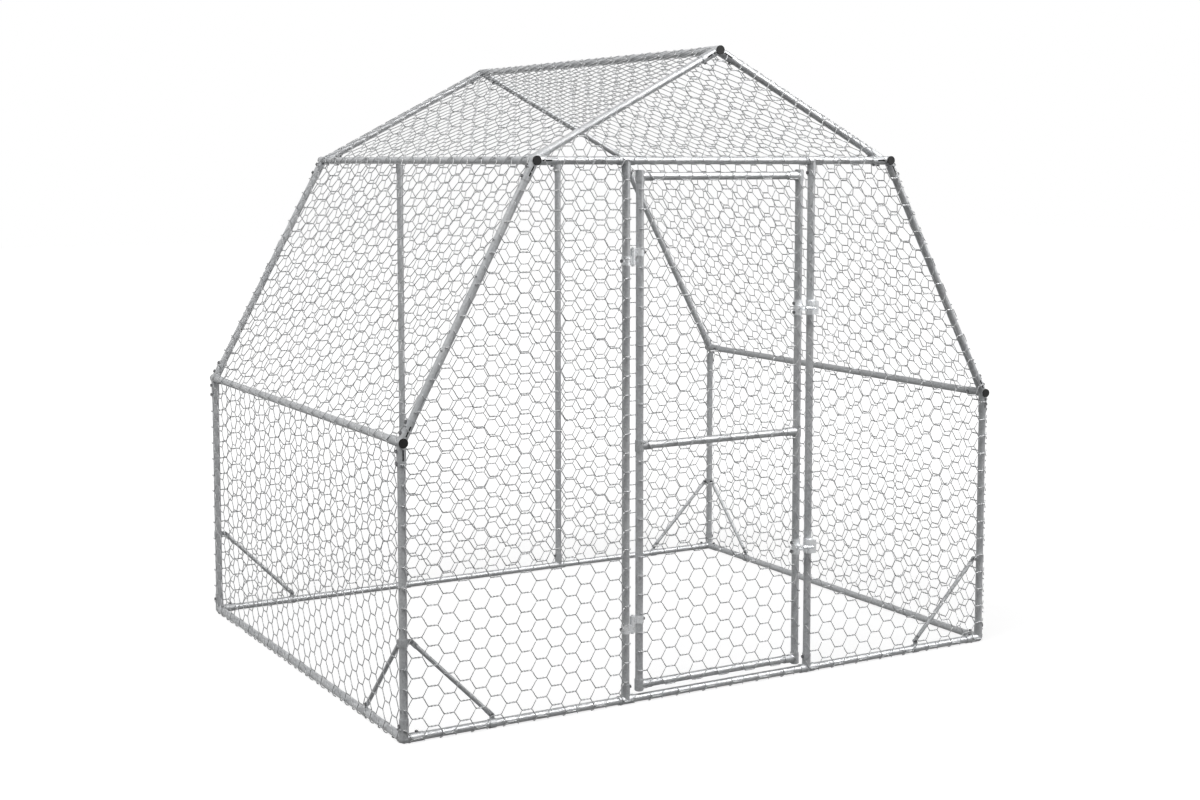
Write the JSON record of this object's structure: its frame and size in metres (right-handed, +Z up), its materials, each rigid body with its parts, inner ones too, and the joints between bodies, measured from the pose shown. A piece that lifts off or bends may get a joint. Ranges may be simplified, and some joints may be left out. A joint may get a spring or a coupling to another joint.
{
  "type": "chicken run",
  "caption": "Walk-in chicken run with a galvanised tube frame, barn-shaped end walls, hexagonal wire netting on walls and roof, corner braces and a hinged front door with sliding latches.",
  "frame": {"origin": "middle of the footprint, on the ground under the base rails", "axes": "+X to the right seen from the front, along the width; +Y from the front wall with the door to the rear wall; +Z up"},
  "size_m": [2.2732, 1.8062, 2.0847],
  "materials": {
    "tube": "galvanised",
    "fitting": "galvanised",
    "wire": "galvanised",
    "bolt": "zinc",
    "cap": "matte"
  },
  "bodies": {
    "frame": {"front_base_rail": "tube", "rear_base_rail": "tube", "left_base_rail": "tube", "right_base_rail": "tube", "front_left_post": "tube", "front_right_post": "tube", "rear_left_post": "tube", "rear_right_post": "tube", "front_left_slope": "tube", "front_right_slope": "tube", "rear_left_slope": "tube", "rear_right_slope": "tube", "front_left_rafter": "tube", "front_right_rafter": "tube", "rear_left_rafter": "tube", "rear_right_rafter": "tube", "front_top_rail": "tube", "rear_top_rail": "tube", "left_eave_rail": "tube", "right_eave_rail": "tube", "left_shoulder_rail": "tube", "right_shoulder_rail": "tube", "ridge_rail": "tube", "hinge_post": "tube", "latch_post": "tube", "rear_studs": "tube", "corner_braces": "tube", "base_corners": "fitting", "eave_joints": "fitting", "shoulder_joints": "fitting", "ridge_joints": "fitting", "post_tees": "fitting", "brace_clamps": "fitting", "hinge_post_clamps": "fitting", "latch_keepers": "fitting", "front_left_net": "wire", "front_right_net": "wire", "front_gable_net": "wire", "rear_net": "wire", "left_lower_net": "wire", "right_lower_net": "wire", "left_upper_net": "wire", "right_upper_net": "wire", "left_roof_net": "wire", "right_roof_net": "wire", "end_caps": "cap", "frame_bolts": "bolt"},
    "door": {"door_hinge_stile": "tube", "door_latch_stile": "tube", "door_top_rail": "tube", "door_mid_rail": "tube", "door_bottom_rail": "tube", "door_tees": "fitting", "hinge_gate_clamps": "fitting", "latch_housings": "fitting", "door_net": "wire", "door_bolts": "bolt"},
    "upper_rod": {"upper_latch_rod": "fitting"},
    "lower_rod": {"lower_latch_rod": "fitting"}
  },
  "joints": [
    {"name": "door_swing", "type": "hinge", "parent": "frame", "child": "door", "pos_m": [-0.33, -0.875, 0.85], "axis": [0, 0, -1], "range_deg": [0, 100]},
    {"name": "upper_latch", "type": "slide", "parent": "door", "child": "upper_rod", "axis": [1, 0, 0], "range_m": [0, 0.016]},
    {"name": "lower_latch", "type": "slide", "parent": "door", "child": "lower_rod", "axis": [1, 0, 0], "range_m": [0, 0.016]}
  ]
}
